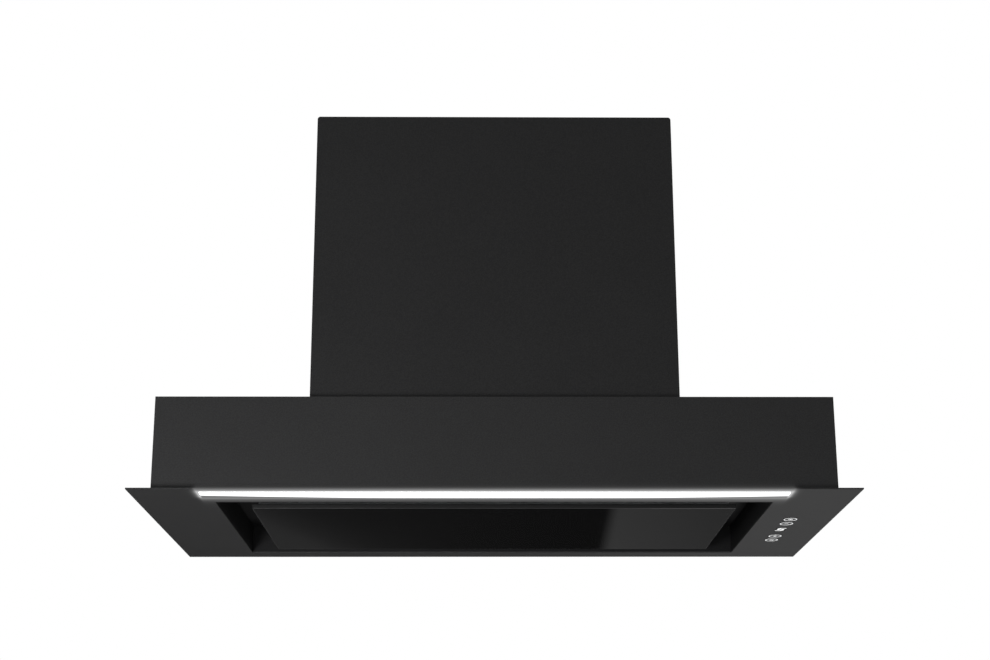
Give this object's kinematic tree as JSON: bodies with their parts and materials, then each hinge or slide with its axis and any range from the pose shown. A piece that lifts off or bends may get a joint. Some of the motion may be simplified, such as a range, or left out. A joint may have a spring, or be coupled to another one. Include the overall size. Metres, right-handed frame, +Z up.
{
  "type": "built-in range hood",
  "caption": "Built-in range hood for a 60 cm wall cabinet: black casing and motor housing, wide flange, light strip, glass suction panel and push buttons.",
  "frame": {"origin": "centre of the underside of the flange", "axes": "+X to the right seen from the front, +Y from the front to the rear, +Z up"},
  "size_m": [0.598, 0.298, 0.3702],
  "materials": {
    "powder_coat": "fine matt black powder coat",
    "inner_coat": "matt black powder coat",
    "zinc_plate": "zinc plated",
    "bright_steel": "bright steel",
    "black_glass": "polished, back-painted black",
    "black_plastic": "fine grain",
    "filter_aluminium": "mill finish",
    "filter_mesh": "expanded mesh layers",
    "opal": "opal, lit from behind",
    "white_board": "solder mask",
    "light_chip": "phosphor",
    "grey_plastic": "fine grain",
    "button_cap": "matt, with printed ring and sign",
    "switch_plastic": "moulded",
    "green_board": "solder mask",
    "lens": "smoked clear",
    "blower_plastic": "moulded",
    "motor_metal": "cast",
    "rubber": "matt",
    "white_plastic": "moulded",
    "flap_plastic": "moulded",
    "lead_jacket": "smooth sleeve"
  },
  "bodies": {
    "hood": {"trim_flange": "powder_coat", "casing_shell": "powder_coat", "deck_plate": "powder_coat", "motor_housing": "powder_coat", "housing_back": "powder_coat", "intake_tray": "inner_coat", "side_plate_left": "zinc_plate", "side_plate_right": "zinc_plate", "hinge_bracket_left": "zinc_plate", "hinge_bracket_right": "zinc_plate", "catch_left": "black_plastic", "catch_right": "black_plastic", "filter_spring_left": "bright_steel", "filter_spring_right": "bright_steel", "led_diffuser": "opal", "led_channel": "filter_aluminium", "led_end_caps": "black_plastic", "led_board": "white_board", "led_chips": "light_chip", "led_driver": "grey_plastic", "button_carrier": "black_plastic", "tact_switches": "switch_plastic", "control_board": "green_board", "control_cover": "black_plastic", "display_lens": "lens", "display_module": "switch_plastic", "blower_scroll": "blower_plastic", "blower_cover": "blower_plastic", "inlet_guard": "zinc_plate", "fan_motor": "motor_metal", "motor_bracket": "zinc_plate", "motor_rubber_ring": "rubber", "capacitor": "white_plastic", "terminal_box": "grey_plastic", "mains_gland": "black_plastic", "outlet_collar": "black_plastic", "flap_pin": "bright_steel", "leads": "lead_jacket", "casing_screws": "bright_steel", "housing_screws": "bright_steel", "blower_screws": "bright_steel"},
    "panel": {"glass_panel": "black_glass", "panel_backing": "zinc_plate", "hinge_arm_left": "zinc_plate", "hinge_arm_right": "zinc_plate", "hinge_pin_left": "bright_steel", "hinge_pin_right": "bright_steel", "striker_left": "bright_steel", "striker_right": "bright_steel"},
    "filter": {"filter_frame": "filter_aluminium", "filter_mesh": "filter_mesh", "filter_grip": "black_plastic"},
    "light_button": {"button_light": "button_cap"},
    "slower_button": {"button_slower": "button_cap"},
    "faster_button": {"button_faster": "button_cap"},
    "power_button": {"button_power": "button_cap"},
    "fan_wheel": {"impeller": "blower_plastic", "motor_shaft": "bright_steel"},
    "front_flap": {"flap_front": "flap_plastic"},
    "rear_flap": {"flap_rear": "flap_plastic"}
  },
  "joints": [
    {"name": "panel_hinge", "type": "hinge", "parent": "hood", "child": "panel", "pos_m": [0, 0.106, 0.014], "axis": [1, 0, 0], "range_deg": [0, 90]},
    {"name": "filter_release", "type": "slide", "parent": "hood", "child": "filter", "axis": [0, 1, 0], "range_m": [0, 0.005], "stiffness_N_per_m": 800, "springref_m": -0.004, "deforming": ["filter_spring_left", "filter_spring_right"]},
    {"name": "press_light", "type": "slide", "parent": "hood", "child": "light_button", "axis": [0, 0, 1], "range_m": [0, 0.0008], "stiffness_N_per_m": 1500, "springref_m": -0.0006},
    {"name": "press_slower", "type": "slide", "parent": "hood", "child": "slower_button", "axis": [0, 0, 1], "range_m": [0, 0.0008], "stiffness_N_per_m": 1500, "springref_m": -0.0006},
    {"name": "press_faster", "type": "slide", "parent": "hood", "child": "faster_button", "axis": [0, 0, 1], "range_m": [0, 0.0008], "stiffness_N_per_m": 1500, "springref_m": -0.0006},
    {"name": "press_power", "type": "slide", "parent": "hood", "child": "power_button", "axis": [0, 0, 1], "range_m": [0, 0.0008], "stiffness_N_per_m": 1500, "springref_m": -0.0006},
    {"name": "impeller_spin", "type": "hinge", "parent": "hood", "child": "fan_wheel", "pos_m": [0, -0.029, 0.19], "axis": [1, 0, 0], "continuous": true},
    {"name": "front_flap_swing", "type": "hinge", "parent": "hood", "child": "front_flap", "pos_m": [0, 0.02, 0.349], "axis": [-1, 0, 0], "range_deg": [0, 78]},
    {"name": "rear_flap_swing", "type": "hinge", "parent": "hood", "child": "rear_flap", "pos_m": [0, 0.02, 0.349], "axis": [1, 0, 0], "range_deg": [0, 78]}
  ]
}
